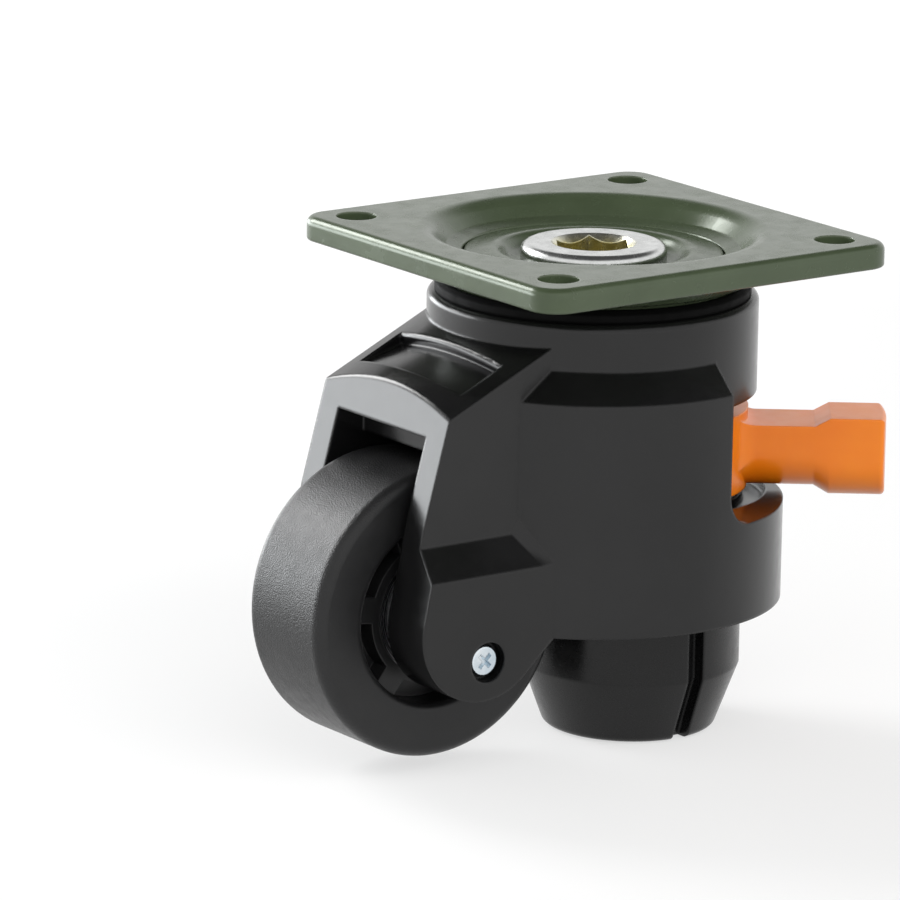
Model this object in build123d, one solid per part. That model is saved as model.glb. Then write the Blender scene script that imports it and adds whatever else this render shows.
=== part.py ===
from build123d import *
import math
import os

# Levelling castor: a swivelling housing under a square mounting plate carries a fork
# with one wheel and, behind the wheel, a screw foot that a ratchet lever winds down.
#
# All sizes are in millimetres. The origin is the centre of the plate's top face, on the
# swivel axis. +Z points up, the wheel lies towards -X, its axle runs along Y, and the
# ratchet lever reaches out towards +X. Heights are negative, because all lies below.

# ---------------------------------------------------------------- driving dimensions

# Mounting plate: a pressed square plate with a two-step dish round the swivel.
PLATE_SIDE = 73.0
PLATE_THICKNESS = 4.2
PLATE_CORNER_RADIUS = 5.0
PLATE_TOP_ROUND = 1.4
PLATE_UNDER_ROUND = 0.5
BOLT_EDGE_DISTANCE = 7.5
BOLT_HOLE_DIAMETER = 7.0
DISH_RIM_RADIUS = 28.0
DISH_RIM_ROUND = 4.0
DISH_FLAT_MARGIN = 2.5
DISH_STEP_ROUND = 0.4
DISH_UNDER_ROUND = 1.2
LEDGE_OUTER_RADIUS = 25.1
LEDGE_WIDTH = 2.75
LEDGE_DEPTH = 3.2
LEDGE_FALL = 0.7
WELL_DEPTH = 8.5
WELL_FLOOR_THICKNESS = 2.6
WELL_WALL_THICKNESS = 3.05
WELL_HOLE_RADIUS = 14.5

# Swivel head: two rings of balls, clamped by a socket-headed kingpin.
WASHER_THICKNESS = 2.4
WASHER_EDGE_GAP = 0.3
WASHER_DIP = 1.6
WASHER_CORE_DROP = 0.8
WASHER_CROWN_RADIUS = 16.0
WASHER_RIM_FALL = 0.45
WASHER_SEAT_MARGIN = 0.6
UPPER_BALL_DIAMETER = 3.0
UPPER_BALL_PITCH_RADIUS = 18.4
UPPER_BALL_COUNT = 16
LOWER_BALL_DIAMETER = 4.0
LOWER_BALL_PITCH_RADIUS = 19.6
LOWER_BALL_COUNT = 16
BALL_GROOVE_DEPTH = 0.35
BALL_CLEARANCE = 0.03
LOWER_RACE_WIDTH = 9.5
LOWER_RACE_THICKNESS = 2.0
KINGPIN_HEAD_RADIUS = 12.5
KINGPIN_HEAD_THICKNESS = 2.9
KINGPIN_HEAD_ROUND = 1.5
KINGPIN_SHANK_RADIUS = 9.0
KINGPIN_LENGTH = 16.8
KINGPIN_END_CHAMFER = 1.0
SOCKET_ACROSS_FLATS = 12.0
SOCKET_DEPTH = 7.0
SOCKET_LEAD_IN = 1.3
SOCKET_MOUTH_MARGIN = 0.3
SLEEVE_WALL = 3.2
INSERT_WALL = 3.8
INSERT_RIB = 1.4
INSERT_END_WALL = 0.5
SEAL_WIDTH = 1.2
SEAL_GAP = 0.35
SEAL_CHAMFER = 0.8

# Housing: one moulding, with the collar, barrel, fork and axle bosses.
COLLAR_RADIUS = 28.3
COLLAR_TOP = -10.6
COLLAR_TOP_ROUND = 1.2
COLLAR_HEIGHT = 8.0
BARREL_RADIUS = 33.3
SHOULDER_HEIGHT = 4.8
BARREL_BOTTOM = -63.4
RECESS_WALL_GAP = 0.4

# Fork and axle bosses.
FORK_WIDTH = 36.0
FORK_INNER_WIDTH = 25.4
FORK_NOSE_REACH = 3.4
FORK_NOSE_Z = -24.1
FORK_TOP_SLOPE = 25.0
FORK_CROWN = 2.35
FORK_NOSE_ROUND = 0.9
FORK_KNEE_REACH = 9.0
FORK_KNEE_Z = -42.0
WINDOW_TOP_Z = -28.4
WELL_CLEARANCE = 1.8
PARTITION_WALL = 2.02
LOBE_RADIUS = 12.4
LOBE_REAR_ANGLE = 47.0
BOSS_WIDTH = 46.0
BOSS_TOP_Z = -45.6
GUSSET_LENGTH = 2.6
GUSSET_RISE = 2.2
NOSE_POCKET_WIDTH = 29.0
NOSE_POCKET_LENGTH = 8.6
NOSE_POCKET_SETBACK = 4.2
NOSE_POCKET_FRONT_DEPTH = 0.5
NOSE_POCKET_BACK_DEPTH = 1.9
NOSE_POCKET_LIP_ROUND = 1.0

# Wheel, axle and wheel bearings.
WHEEL_Z = -59.8
WHEEL_RADIUS = 25.0
WHEEL_WIDTH = 21.0
WHEEL_EDGE_ROUND = 2.0
TREAD_THICKNESS = 9.3
TREAD_INNER_ROUND = 1.3
HUB_WALL = 1.6
HUB_SETBACK = 2.2
HUB_STOP_HEIGHT = 1.5
WHEEL_RECESS_DEPTH = 6.0
WHEEL_RIB_COUNT = 6
WHEEL_RIB_WIDTH = 4.5
WHEEL_RIB_PHASE = 8.0
AXLE_RADIUS = 4.0
AXLE_CHAMFER = 0.5
AXLE_SEAT_DEPTH = 4.5
AXLE_SEAT_CLEARANCE = 0.05
BEARING_RADIUS = 11.0
BEARING_WIDTH = 7.0
BEARING_SETBACK = 2.5
BEARING_RING_WALL = 1.9
BEARING_BALL_DIAMETER = 3.969
BEARING_BALL_COUNT = 7
SHIELD_THICKNESS = 0.25
SHIELD_GAP = 0.2
SPACER_WALL = 2.0
SPACER_END_GAP = 0.05

# Keeper screws: one under each end of the axle, across the open side of its seat.
KEEPER_SCREW_RADIUS = 1.75
KEEPER_SCREW_SHIFT = 0.9
KEEPER_HEAD_RADIUS = 2.7
KEEPER_HEAD_HEIGHT = 1.6
KEEPER_EDGE_ROUND = 0.5
KEEPER_COUNTERBORE_RADIUS = 3.45
KEEPER_COUNTERBORE_DEPTH = 2.6
KEEPER_SCREW_REACH = 3.6
KEEPER_RECESS_WIDTH = 0.75
KEEPER_RECESS_LENGTH = 3.0
KEEPER_RECESS_DEPTH = 0.9

# Lever chamber and window, behind the wheel.
FOOT_BACK_WALL = 4.72
CHAMBER_TOP_Z = -27.2
CHAMBER_CLEARANCE = 0.4
LEDGE_Z = -46.3
LEDGE_GROOVE_WALL = 1.0
LEDGE_GROOVE_DEPTH = 2.0
WINDOW_EDGE_SETBACK = 4.3
WINDOW_CORNER_RADIUS = 5.3

# Ratchet lever.
LEVER_REST_ANGLE = -37.0
LEVER_HUB_RADIUS = 19.5
LEVER_HUB_TOP_Z = -31.65
LEVER_HUB_BOTTOM_Z = -45.55
LEVER_LENGTH = 43.2
LEVER_NECK_TOP_Z = -33.9
LEVER_NECK_BOTTOM_Z = -45.4
LEVER_WIDTH = 12.4
LEVER_GRIP_START = 33.5
LEVER_FLARE_LENGTH = 2.6
LEVER_GRIP_TOP_Z = -32.45
LEVER_GRIP_BOTTOM_Z = -46.9
LEVER_END_BULGE = 0.5
LEVER_END_ROUND = 0.8
LEVER_ROOT_ROUND = 3.5
LEVER_ROOT_RISE = 1.7

# Ratchet gear, pawl and thrust bearing.
GEAR_TEETH = 20
GEAR_TIP_RADIUS = 13.2
GEAR_ROOT_RADIUS = 11.7
GEAR_TIP_SHARE = 0.28
GEAR_GAP_SHARE = 0.28
GEAR_RUNNING_GAP = 0.35
PAWL_RADIUS = 2.5
PAWL_BORE_CLEARANCE = 0.06
PAWL_LENGTH = 7.4
PAWL_LIFT_GAP = 0.3
PAWL_POINT_WIDTH = 0.6
SPRING_LENGTH = 5.0
SPRING_WIRE_RADIUS = 0.3
SPRING_RADIUS = 1.9
SPRING_TURNS = 4.0
THRUST_RACE_THICKNESS = 1.3
THRUST_RACE_RADIUS = 16.4
THRUST_BALL_COUNT = 12
THRUST_GROOVE_DEPTH = 0.3
THRUST_BORE_GAP = 0.4
LEVER_WASHER_RADIUS = 18.5
LEVER_WASHER_THICKNESS = 0.7

# Screw foot.
STEM_RADIUS = 8.0
STEM_RUNNING_CLEARANCE = 0.05
STEM_HOLE_CLEARANCE = 0.3
STEM_TOP_Z = -33.0
STEM_HEADROOM = 9.6
STEM_FLANGE_RADIUS = 12.0
STEM_FLANGE_THICKNESS = 4.0
STEM_CHAMFER = 1.0
FOOT_RADIUS = 19.0
FOOT_BORE_CLEARANCE = 0.08
FOOT_TOP_Z = -58.2
FOOT_CREASE_Z = -77.0
FOOT_BOTTOM_Z = -88.3
FOOT_BOTTOM_RADIUS = 14.8
FOOT_BOTTOM_ROUND = 1.5
FOOT_SOLE_THICKNESS = 4.0
FOOT_WALL = 3.4
FOOT_BOSS_RADIUS = 11.0
FOOT_CORE_DEPTH = 16.0
FOOT_RETRACTION = 9.0
FOOT_CHAMBER_GAP = 0.3
KEYWAY_WIDTH = 3.2
KEYWAY_DEPTH = 2.6
KEY_SIDE_CLEARANCE = 0.15
KEY_TIP_CLEARANCE = 0.4

# Cored slots in the barrel's underside, two on each side of the foot.
CORE_WALL = 3.3
CORE_WIDTH = 3.6
CORE_DEPTH = 12.4
CORE_START_ANGLE = 64.0
CORE_END_ANGLE = 130.0
CORE_RIB_ANGLE = 8.0

# ---------------------------------------------------------------- derived dimensions

BOLT_SPACING = PLATE_SIDE - 2 * BOLT_EDGE_DISTANCE
LEDGE_INNER_RADIUS = LEDGE_OUTER_RADIUS - LEDGE_WIDTH
LEDGE_INNER_Z = -LEDGE_DEPTH - LEDGE_FALL
WELL_FLOOR_Z = -WELL_DEPTH
WELL_UNDERSIDE_Z = WELL_FLOOR_Z - WELL_FLOOR_THICKNESS
WELL_OUTER_RADIUS = LEDGE_INNER_RADIUS + WELL_WALL_THICKNESS

UPPER_BALL_Z = WELL_FLOOR_Z + UPPER_BALL_DIAMETER / 2 - BALL_GROOVE_DEPTH + BALL_CLEARANCE
WASHER_BOTTOM_Z = UPPER_BALL_Z + UPPER_BALL_DIAMETER / 2 - BALL_GROOVE_DEPTH + BALL_CLEARANCE
WASHER_TOP_Z = WASHER_BOTTOM_Z + WASHER_THICKNESS
WASHER_CORE_Z = WASHER_BOTTOM_Z - WASHER_CORE_DROP
WASHER_RADIUS = LEDGE_INNER_RADIUS - WASHER_EDGE_GAP
KINGPIN_SEAT_Z = WASHER_TOP_Z - WASHER_DIP
KINGPIN_TOP_Z = KINGPIN_SEAT_Z + KINGPIN_HEAD_THICKNESS
KINGPIN_BOTTOM_Z = KINGPIN_SEAT_Z - KINGPIN_LENGTH
SLEEVE_RADIUS = KINGPIN_SHANK_RADIUS + SLEEVE_WALL
INSERT_RADIUS = KINGPIN_SHANK_RADIUS + INSERT_WALL

LOWER_BALL_Z = WELL_UNDERSIDE_Z - LOWER_BALL_DIAMETER / 2 + BALL_GROOVE_DEPTH - BALL_CLEARANCE
LOWER_RACE_TOP_Z = LOWER_BALL_Z - LOWER_BALL_DIAMETER / 2 + BALL_GROOVE_DEPTH - BALL_CLEARANCE
RECESS_FLOOR_Z = LOWER_RACE_TOP_Z - LOWER_RACE_THICKNESS
RECESS_RADIUS = WELL_OUTER_RADIUS + RECESS_WALL_GAP
INSERT_TOP_Z = LOWER_RACE_TOP_Z + LOWER_RACE_THICKNESS
INSERT_BOTTOM_Z = KINGPIN_BOTTOM_Z - INSERT_END_WALL

SHOULDER_TOP_Z = COLLAR_TOP - COLLAR_HEIGHT
SHOULDER_LOW_Z = SHOULDER_TOP_Z - SHOULDER_HEIGHT

FOOT_BORE_RADIUS = FOOT_RADIUS + FOOT_BORE_CLEARANCE
FOOT_AXIS_X = BARREL_RADIUS - FOOT_BACK_WALL - FOOT_BORE_RADIUS
WELL_RADIUS = WHEEL_RADIUS + WELL_CLEARANCE
WELL_BACK_X = FOOT_AXIS_X - FOOT_BORE_RADIUS - PARTITION_WALL
WHEEL_X = WELL_BACK_X - WELL_RADIUS
FORK_NOSE_X = WHEEL_X - FORK_NOSE_REACH
FORK_KNEE_X = WHEEL_X - FORK_KNEE_REACH
WINDOW_EDGE_X = FOOT_AXIS_X - WINDOW_EDGE_SETBACK

HUB_RADIUS = BEARING_RADIUS + HUB_WALL
TREAD_INNER_RADIUS = WHEEL_RADIUS - TREAD_THICKNESS
BEARING_OUTER_FACE = WHEEL_WIDTH / 2 - BEARING_SETBACK
BEARING_PITCH_RADIUS = (AXLE_RADIUS + BEARING_RADIUS) / 2
AXLE_HALF_LENGTH = FORK_INNER_WIDTH / 2 + AXLE_SEAT_DEPTH - AXLE_SEAT_CLEARANCE
KEEPER_X = WHEEL_X + KEEPER_SCREW_SHIFT
KEEPER_DROP = math.sqrt((AXLE_RADIUS + KEEPER_SCREW_RADIUS) ** 2 - KEEPER_SCREW_SHIFT**2)
KEEPER_Z = WHEEL_Z - KEEPER_DROP - AXLE_SEAT_CLEARANCE

CHAMBER_RADIUS = LEVER_HUB_RADIUS + CHAMBER_CLEARANCE
THRUST_LOWER_TOP_Z = LEVER_HUB_TOP_Z + THRUST_RACE_THICKNESS
THRUST_UPPER_BOTTOM_Z = CHAMBER_TOP_Z - THRUST_RACE_THICKNESS
THRUST_GAP = THRUST_UPPER_BOTTOM_Z - THRUST_LOWER_TOP_Z
THRUST_BALL_DIAMETER = THRUST_GAP + 2 * THRUST_GROOVE_DEPTH - 2 * BALL_CLEARANCE
THRUST_BORE_RADIUS = STEM_RADIUS + STEM_HOLE_CLEARANCE + THRUST_BORE_GAP
THRUST_PITCH_RADIUS = (THRUST_BORE_RADIUS + THRUST_RACE_RADIUS) / 2
GEAR_BOTTOM_Z = LEDGE_Z + LEVER_WASHER_THICKNESS
PAWL_AXIS_Z = (LEVER_NECK_TOP_Z + LEVER_NECK_BOTTOM_Z) / 2
PAWL_TIP = GEAR_TIP_RADIUS + PAWL_LIFT_GAP
PAWL_BORE_END = PAWL_TIP + PAWL_LENGTH + SPRING_LENGTH
LEVER_BORE_RADIUS = GEAR_TIP_RADIUS + GEAR_RUNNING_GAP

FOOT_CHAMBER_TOP_Z = FOOT_TOP_Z + FOOT_RETRACTION + FOOT_CHAMBER_GAP
STEM_POCKET_TOP_Z = STEM_TOP_Z + STEM_HEADROOM
STEM_BOTTOM_Z = FOOT_BOTTOM_Z + FOOT_SOLE_THICKNESS
FOOT_CORE_RADIUS = FOOT_RADIUS - FOOT_WALL


# ---------------------------------------------------------------- shared helpers


def turned(points):
    """Turn a closed outline of (radius, height) points about the Z axis."""
    return revolve(Plane.XZ * make_face(Polyline(*points, close=True)), Axis.Z)


def ring(inner_radius, outer_radius, low_z, high_z):
    """A flat ring or, with no inner radius, a disc, about the Z axis."""
    return turned(
        [(inner_radius, low_z), (outer_radius, low_z), (outer_radius, high_z), (inner_radius, high_z)]
    )


def torus_groove(pitch_radius, ball_radius, z):
    """The ring-shaped track that a circle of balls runs in."""
    return Pos(0, 0, z) * Torus(pitch_radius, ball_radius)


def ball_circle(pitch_radius, diameter, count, z):
    """A circle of separate balls about the Z axis."""
    places = PolarLocations(pitch_radius, count)
    return Compound([Pos(0, 0, z) * place * Sphere(diameter / 2) for place in places])


def side_slab(outline, low_y, high_y):
    """Extrude a face drawn in X and Z from one Y to another."""
    return Pos(0, high_y, 0) * extrude(outline, high_y - low_y)


def box_between(low, high):
    """A box from its lowest to its highest corner."""
    size = [h - l for l, h in zip(low, high)]
    centre = [(h + l) / 2 for l, h in zip(low, high)]
    return Pos(*centre) * Box(*size)


def on_axle(shape):
    """Lay a shape made about Z along the wheel's axle, its +Z towards +Y."""
    return Pos(WHEEL_X, 0, WHEEL_Z) * Rot(-90, 0, 0) * shape


def on_foot_axis(shape):
    """Move a shape made about Z onto the foot's screw axis."""
    return Pos(FOOT_AXIS_X, 0, 0) * shape


def tangent_point(centre, radius, outside, side):
    """Where a line from an outside point touches a circle, on the side +1 or -1."""
    across = outside[0] - centre[0]
    up = outside[1] - centre[1]
    base = math.atan2(up, across)
    spread = math.acos(radius / math.hypot(across, up))
    angle = base + side * spread
    return (centre[0] + radius * math.cos(angle), centre[1] + radius * math.sin(angle))


# ---------------------------------------------------------------- swivel head


def mounting_plate():
    """The pressed plate: a flat square with a stepped dish and four bolt holes."""
    outline = RectangleRounded(PLATE_SIDE, PLATE_SIDE, PLATE_CORNER_RADIUS)
    sheet = extrude(outline, -PLATE_THICKNESS)
    sheet = fillet(sheet.edges().group_by(Axis.Z)[-1], PLATE_TOP_ROUND)
    sheet = fillet(sheet.edges().group_by(Axis.Z)[0], PLATE_UNDER_ROUND)
    under_rim_radius = DISH_RIM_RADIUS + WELL_WALL_THICKNESS
    blend_radius = under_rim_radius + DISH_FLAT_MARGIN
    sheet -= ring(0, blend_radius, -2 * PLATE_THICKNESS, PLATE_THICKNESS)
    upper_side = FilletPolyline(
        (blend_radius, 0),
        (DISH_RIM_RADIUS, 0),
        (LEDGE_OUTER_RADIUS, -LEDGE_DEPTH),
        (LEDGE_INNER_RADIUS, LEDGE_INNER_Z),
        (LEDGE_INNER_RADIUS, WELL_FLOOR_Z),
        (WELL_HOLE_RADIUS, WELL_FLOOR_Z),
        radius=[DISH_RIM_ROUND, DISH_STEP_ROUND, DISH_STEP_ROUND, DISH_STEP_ROUND],
    )
    ledge_underside_z = LEDGE_INNER_Z - PLATE_THICKNESS
    lower_side = FilletPolyline(
        (WELL_HOLE_RADIUS, WELL_UNDERSIDE_Z),
        (WELL_OUTER_RADIUS, WELL_UNDERSIDE_Z),
        (WELL_OUTER_RADIUS, ledge_underside_z),
        (under_rim_radius - LEDGE_DEPTH, ledge_underside_z + LEDGE_FALL),
        (under_rim_radius, -PLATE_THICKNESS),
        (blend_radius, -PLATE_THICKNESS),
        radius=[DISH_STEP_ROUND, DISH_STEP_ROUND, DISH_STEP_ROUND, DISH_UNDER_ROUND],
    )
    ends = [
        Line((WELL_HOLE_RADIUS, WELL_FLOOR_Z), (WELL_HOLE_RADIUS, WELL_UNDERSIDE_Z)),
        Line((blend_radius, -PLATE_THICKNESS), (blend_radius, 0)),
    ]
    section = Plane.XZ * make_face(Curve([upper_side, lower_side] + ends).edges())
    plate = sheet + revolve(section, Axis.Z)
    plate -= torus_groove(
        UPPER_BALL_PITCH_RADIUS, UPPER_BALL_DIAMETER / 2 + BALL_CLEARANCE, UPPER_BALL_Z
    )
    plate -= torus_groove(
        LOWER_BALL_PITCH_RADIUS, LOWER_BALL_DIAMETER / 2 + BALL_CLEARANCE, LOWER_BALL_Z
    )
    for place in GridLocations(BOLT_SPACING, BOLT_SPACING, 2, 2):
        plate -= place * Cylinder(BOLT_HOLE_DIAMETER / 2, 4 * PLATE_THICKNESS)
    return plate


def race_washer():
    """The dished top washer that turns over the upper balls."""
    seat_radius = KINGPIN_HEAD_RADIUS + WASHER_SEAT_MARGIN
    rim_z = WASHER_TOP_Z - WASHER_RIM_FALL
    core_radius = SLEEVE_RADIUS + WASHER_SEAT_MARGIN
    top_side = Spline(
        (WASHER_RADIUS, rim_z),
        (WASHER_RADIUS - 2 * WASHER_RIM_FALL, WASHER_TOP_Z - WASHER_RIM_FALL / 4),
        (WASHER_CROWN_RADIUS, WASHER_TOP_Z),
        (seat_radius, KINGPIN_SEAT_Z),
        tangents=[(-0.2, 1), (-1, 0)],
    )
    rest = Polyline(
        (seat_radius, KINGPIN_SEAT_Z),
        (KINGPIN_SHANK_RADIUS, KINGPIN_SEAT_Z),
        (KINGPIN_SHANK_RADIUS, WASHER_CORE_Z),
        (core_radius, WASHER_CORE_Z),
        (core_radius + WASHER_CORE_DROP, WASHER_BOTTOM_Z),
        (WASHER_RADIUS, WASHER_BOTTOM_Z),
        (WASHER_RADIUS, rim_z),
    )
    washer = revolve(Plane.XZ * make_face(Curve([top_side, rest]).edges()), Axis.Z)
    return washer - torus_groove(
        UPPER_BALL_PITCH_RADIUS, UPPER_BALL_DIAMETER / 2 + BALL_CLEARANCE, UPPER_BALL_Z
    )


def kingpin_bolt():
    """The flanged bolt that clamps the swivel head, with a hexagon socket."""
    head = ring(0, KINGPIN_HEAD_RADIUS, KINGPIN_SEAT_Z, KINGPIN_TOP_Z)
    head = fillet(head.edges().group_by(Axis.Z)[-1], KINGPIN_HEAD_ROUND)
    bolt = head + ring(0, KINGPIN_SHANK_RADIUS, KINGPIN_BOTTOM_Z, KINGPIN_SEAT_Z)
    bolt = chamfer(bolt.edges().group_by(Axis.Z)[0], KINGPIN_END_CHAMFER)
    hexagon = RegularPolygon(SOCKET_ACROSS_FLATS / 2, 6, major_radius=False)
    bolt -= Pos(0, 0, KINGPIN_TOP_Z) * extrude(hexagon, -SOCKET_DEPTH)
    corner_radius = SOCKET_ACROSS_FLATS / math.sqrt(3)
    mouth_radius = corner_radius + SOCKET_MOUTH_MARGIN
    lead_in = Cone(SOCKET_ACROSS_FLATS / 2, mouth_radius, SOCKET_LEAD_IN)
    return bolt - Pos(0, 0, KINGPIN_TOP_Z - SOCKET_LEAD_IN / 2) * lead_in


def kingpin_sleeve():
    """The distance sleeve that keeps the clamped balls free to roll."""
    return ring(KINGPIN_SHANK_RADIUS, SLEEVE_RADIUS, INSERT_TOP_Z, WASHER_CORE_Z)


def insert_outline(inner_radius):
    """The threaded insert's section, with a rib that anchors it in the housing."""
    middle_z = (RECESS_FLOOR_Z + INSERT_BOTTOM_Z) / 2
    return [
        (inner_radius, INSERT_TOP_Z),
        (INSERT_RADIUS, INSERT_TOP_Z),
        (INSERT_RADIUS, middle_z + INSERT_RIB),
        (INSERT_RADIUS + INSERT_RIB, middle_z + INSERT_RIB),
        (INSERT_RADIUS + INSERT_RIB, middle_z - INSERT_RIB),
        (INSERT_RADIUS, middle_z - INSERT_RIB),
        (INSERT_RADIUS, INSERT_BOTTOM_Z),
        (inner_radius, INSERT_BOTTOM_Z),
    ]


def kingpin_insert():
    """The steel bush, moulded into the housing, that the kingpin screws into."""
    return turned(insert_outline(KINGPIN_SHANK_RADIUS))


def lower_race():
    """The hardened ring in the collar that the lower balls run on."""
    race = ring(INSERT_RADIUS, INSERT_RADIUS + LOWER_RACE_WIDTH, RECESS_FLOOR_Z, LOWER_RACE_TOP_Z)
    return race - torus_groove(
        LOWER_BALL_PITCH_RADIUS, LOWER_BALL_DIAMETER / 2 + BALL_CLEARANCE, LOWER_BALL_Z
    )


def dust_seal():
    """The lipped ring on the collar that closes the gap under the plate."""
    outer_radius = RECESS_RADIUS + SEAL_WIDTH
    top_z = LEDGE_INNER_Z - PLATE_THICKNESS - SEAL_GAP
    return turned(
        [
            (RECESS_RADIUS, COLLAR_TOP),
            (outer_radius, COLLAR_TOP),
            (outer_radius, top_z - SEAL_CHAMFER),
            (outer_radius - SEAL_CHAMFER, top_z),
            (RECESS_RADIUS, top_z),
        ]
    )


# ---------------------------------------------------------------- housing


def lobe_outline(top_z):
    """Side view of an axle boss: a round end, its sides tangent up to the body."""
    centre = (WHEEL_X, WHEEL_Z)
    knee = (FORK_KNEE_X, FORK_KNEE_Z)
    front = tangent_point(centre, LOBE_RADIUS, knee, 1)
    bottom = (WHEEL_X, WHEEL_Z - LOBE_RADIUS)
    angle = math.radians(LOBE_REAR_ANGLE)
    rear_x = WHEEL_X + LOBE_RADIUS * math.cos(angle)
    rear_z = WHEEL_Z - LOBE_RADIUS * math.sin(angle)
    heel_x = rear_x + (BARREL_BOTTOM - rear_z) * math.tan(angle)
    lean = (knee[0] - front[0]) / (knee[1] - front[1])
    top_front = (front[0] + lean * (top_z - front[1]), top_z)
    edges = [
        Line(top_front, front),
        ThreePointArc(front, bottom, (rear_x, rear_z)),
        Line((rear_x, rear_z), (heel_x, BARREL_BOTTOM)),
        Line((heel_x, BARREL_BOTTOM), (WELL_BACK_X, BARREL_BOTTOM)),
        Line((WELL_BACK_X, BARREL_BOTTOM), (WELL_BACK_X, top_z)),
        Line((WELL_BACK_X, top_z), top_front),
    ]
    return Plane.XZ * make_face(edges)


def nose_plane(along_slope):
    """The plane square to the fork's sloping top, some way up from the nose."""
    slope = math.radians(FORK_TOP_SLOPE)
    origin = (
        FORK_NOSE_X + along_slope * math.cos(slope),
        0,
        FORK_NOSE_Z + along_slope * math.sin(slope),
    )
    return Plane(origin=origin, x_dir=(0, 1, 0), z_dir=(math.cos(slope), 0, math.sin(slope)))


def nose_pocket():
    """The pocket sunk into the fork's crowned top, deepest at the back."""
    half = FORK_WIDTH / 2
    crown_radius = (half**2 + FORK_CROWN**2) / (2 * FORK_CROWN)
    start = NOSE_POCKET_SETBACK / math.cos(math.radians(FORK_TOP_SLOPE))
    front = nose_plane(start) * Pos(0, FORK_CROWN - crown_radius, 0)
    above = extrude(front * Circle(crown_radius + FORK_CROWN), NOSE_POCKET_LENGTH)
    fall = math.atan((NOSE_POCKET_BACK_DEPTH - NOSE_POCKET_FRONT_DEPTH) / NOSE_POCKET_LENGTH)
    sink = NOSE_POCKET_FRONT_DEPTH + crown_radius * (1 / math.cos(fall) - 1)
    floor_lay = front * Pos(0, -sink, 0) * Rot(math.degrees(fall), 0, 0)
    floor = extrude(floor_lay * Circle(crown_radius), FORK_WIDTH, both=True)
    strip = Box(2 * BARREL_RADIUS, NOSE_POCKET_WIDTH, 2 * BARREL_RADIUS)
    return (above & Pos(FORK_NOSE_X, 0, FORK_NOSE_Z) * strip) - floor


def fork_block():
    """The solid fork: leaning nose, crowned and pocketed top, tangent lower lobes."""
    half = FORK_WIDTH / 2
    slope = math.radians(FORK_TOP_SLOPE)
    apex_z = FORK_NOSE_Z + FORK_CROWN / math.cos(slope)
    spare = 2 * FORK_CROWN
    lean = (FORK_NOSE_X - FORK_KNEE_X) / (apex_z - FORK_KNEE_Z)
    roof_rise = (WELL_BACK_X - FORK_NOSE_X) * math.tan(slope)
    outline = Plane.XZ * make_face(
        Polyline(
            (FORK_NOSE_X + lean * spare, apex_z + spare),
            (FORK_KNEE_X, FORK_KNEE_Z),
            (WELL_BACK_X, FORK_KNEE_Z),
            (WELL_BACK_X, apex_z + spare + roof_rise),
            close=True,
        )
    )
    block = side_slab(outline, -half, half) + side_slab(lobe_outline(FORK_KNEE_Z), -half, half)
    arch = make_face(
        [
            ThreePointArc((-half, 0), (0, FORK_CROWN), (half, 0)),
            Line((half, 0), (half, -3 * half)),
            Line((half, -3 * half), (-half, -3 * half)),
            Line((-half, -3 * half), (-half, 0)),
        ]
    )
    crowned = extrude(nose_plane(0) * arch, 2 * FORK_WIDTH, both=True)
    far = 2 * BARREL_RADIUS
    below_collar_top = box_between(
        (-far, -far, 2 * BARREL_BOTTOM), (far, far, COLLAR_TOP - 2 * COLLAR_TOP_ROUND)
    )
    block = block & crowned & below_collar_top
    nose_edge = block.edges().sort_by_distance((FORK_NOSE_X, 0, apex_z))[0]
    block = fillet(nose_edge, FORK_NOSE_ROUND) - nose_pocket()
    reach = NOSE_POCKET_SETBACK + NOSE_POCKET_LENGTH * math.cos(slope) - FORK_CROWN * math.sin(slope)
    lip = (FORK_NOSE_X + reach, 0, apex_z + reach * math.tan(slope))
    return fillet(block.edges().sort_by_distance(lip)[0], NOSE_POCKET_LIP_ROUND)


def axle_bosses():
    """The thickened lower cheeks, with sloping tops, one each side of the fork."""
    half = BOSS_WIDTH / 2
    slope_width = (BOSS_WIDTH - FORK_WIDTH) / 2
    bosses = side_slab(lobe_outline(BOSS_TOP_Z), -half, half)
    top_edges = bosses.edges().filter_by(Axis.X).group_by(Axis.Z)[-1]
    outer_edges = top_edges.filter_by(lambda edge: abs(edge.center().Y) > half - 0.01)
    return chamfer(outer_edges, slope_width)


def boss_gusset(side):
    """The small facet where a boss's sloping top turns up to meet the barrel."""
    fork_y = side * FORK_WIDTH / 2
    boss_y = side * BOSS_WIDTH / 2
    fork_x = -math.sqrt(BARREL_RADIUS**2 - fork_y**2)
    boss_x = -math.sqrt(BARREL_RADIUS**2 - boss_y**2)
    slope_width = abs(boss_y - fork_y)
    inner_z = BOSS_TOP_Z
    outer_z = BOSS_TOP_Z - slope_width
    depth = 2 * GUSSET_LENGTH
    inner = Polyline(
        (fork_x - 0.6 * GUSSET_LENGTH, fork_y, inner_z),
        (fork_x, fork_y, inner_z + GUSSET_RISE),
        (fork_x + depth, fork_y, inner_z),
        close=True,
    )
    outer = Polyline(
        (boss_x - GUSSET_LENGTH, boss_y, outer_z),
        (boss_x, boss_y, outer_z + 0.3),
        (boss_x + depth, boss_y, outer_z),
        close=True,
    )
    return Solid.make_loft([Wire(inner.edges()), Wire(outer.edges())], ruled=True)


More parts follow.
